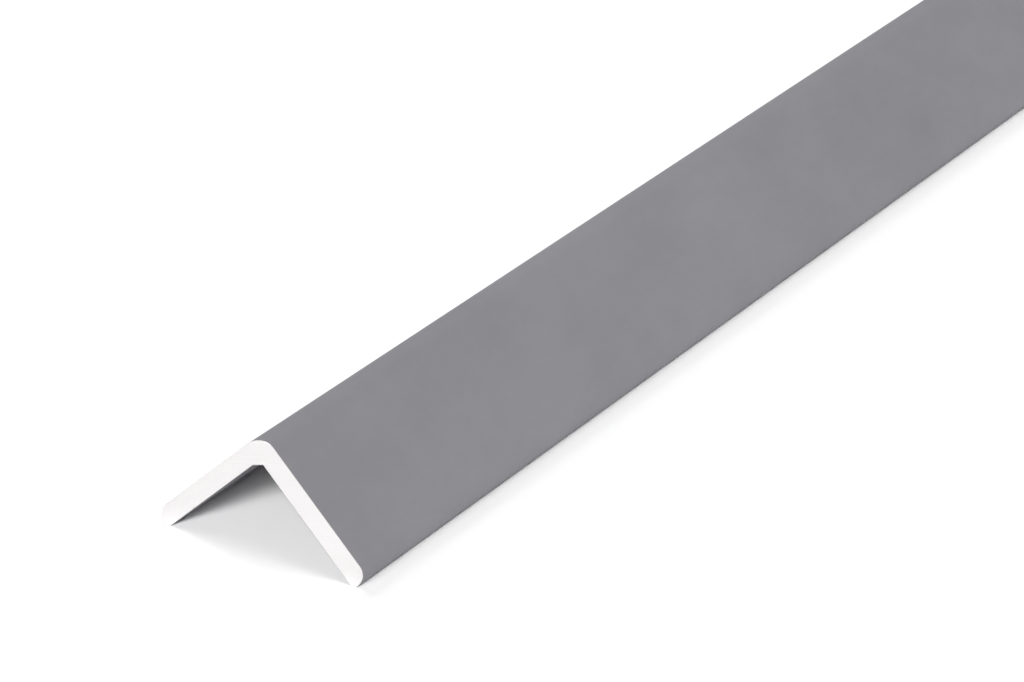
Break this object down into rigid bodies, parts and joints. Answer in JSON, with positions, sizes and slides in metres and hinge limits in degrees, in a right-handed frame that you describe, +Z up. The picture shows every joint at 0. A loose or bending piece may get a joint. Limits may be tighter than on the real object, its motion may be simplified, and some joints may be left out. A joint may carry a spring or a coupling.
{
  "type": "corner guard moulding",
  "caption": "Straight length of right-angled corner guard moulding with a longer and a shorter leg, a rounded nose and rounded leg edges, coated matt grey, with bare sawn ends.",
  "frame": {"origin": "on the floor, under the middle of the moulding's length and width", "axes": "+X along the length, +Z up towards the nose, +Y across towards the shorter leg"},
  "size_m": [1, 0.0304, 0.0161],
  "materials": {
    "grey_coat": "matte"
  },
  "bodies": {
    "root": {"corner_guard": "grey_coat"}
  },
  "joints": []
}
